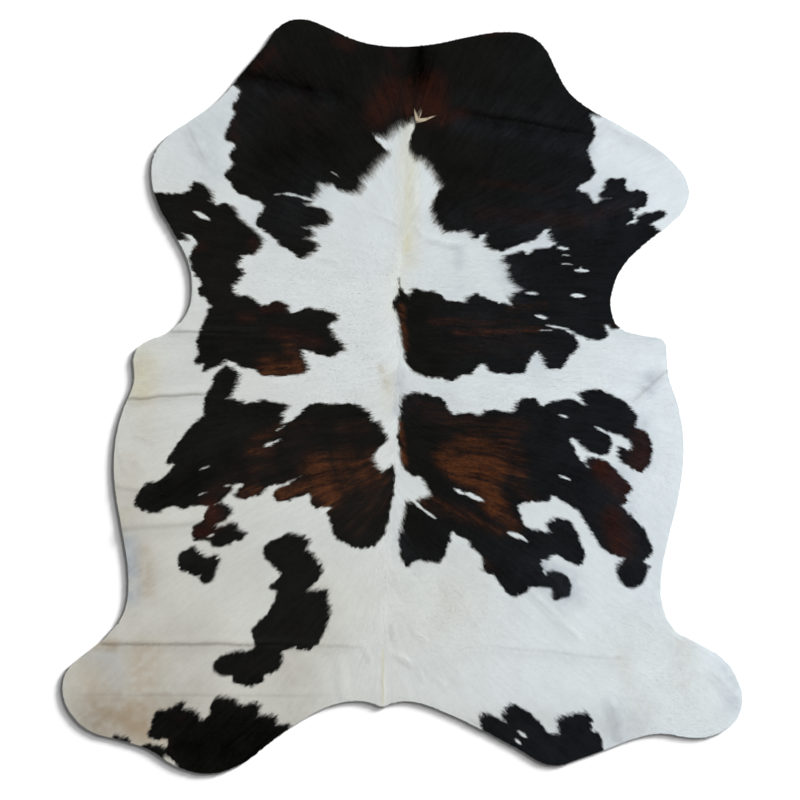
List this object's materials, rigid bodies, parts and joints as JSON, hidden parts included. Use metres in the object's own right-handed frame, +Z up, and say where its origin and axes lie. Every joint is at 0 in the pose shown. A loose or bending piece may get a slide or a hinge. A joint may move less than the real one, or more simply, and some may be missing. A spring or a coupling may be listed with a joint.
{
  "type": "cowhide rug",
  "caption": "One-piece cowhide rug in the animal's own outline, with short glossy hair on top and bare suede underneath, lying flat on the floor.",
  "frame": {"origin": "on the floor, under the middle of the hide's bounds", "axes": "+X across the hide to the animal's right as seen from above, +Y along the spine to the neck, +Z up, out of the hair side"},
  "size_m": [1.9, 2.11, 0.0088],
  "materials": {
    "coat": "short glossy hair in black, brown and white patches, with suede on the underside"
  },
  "bodies": {
    "root": {"hide": "coat"}
  },
  "joints": []
}
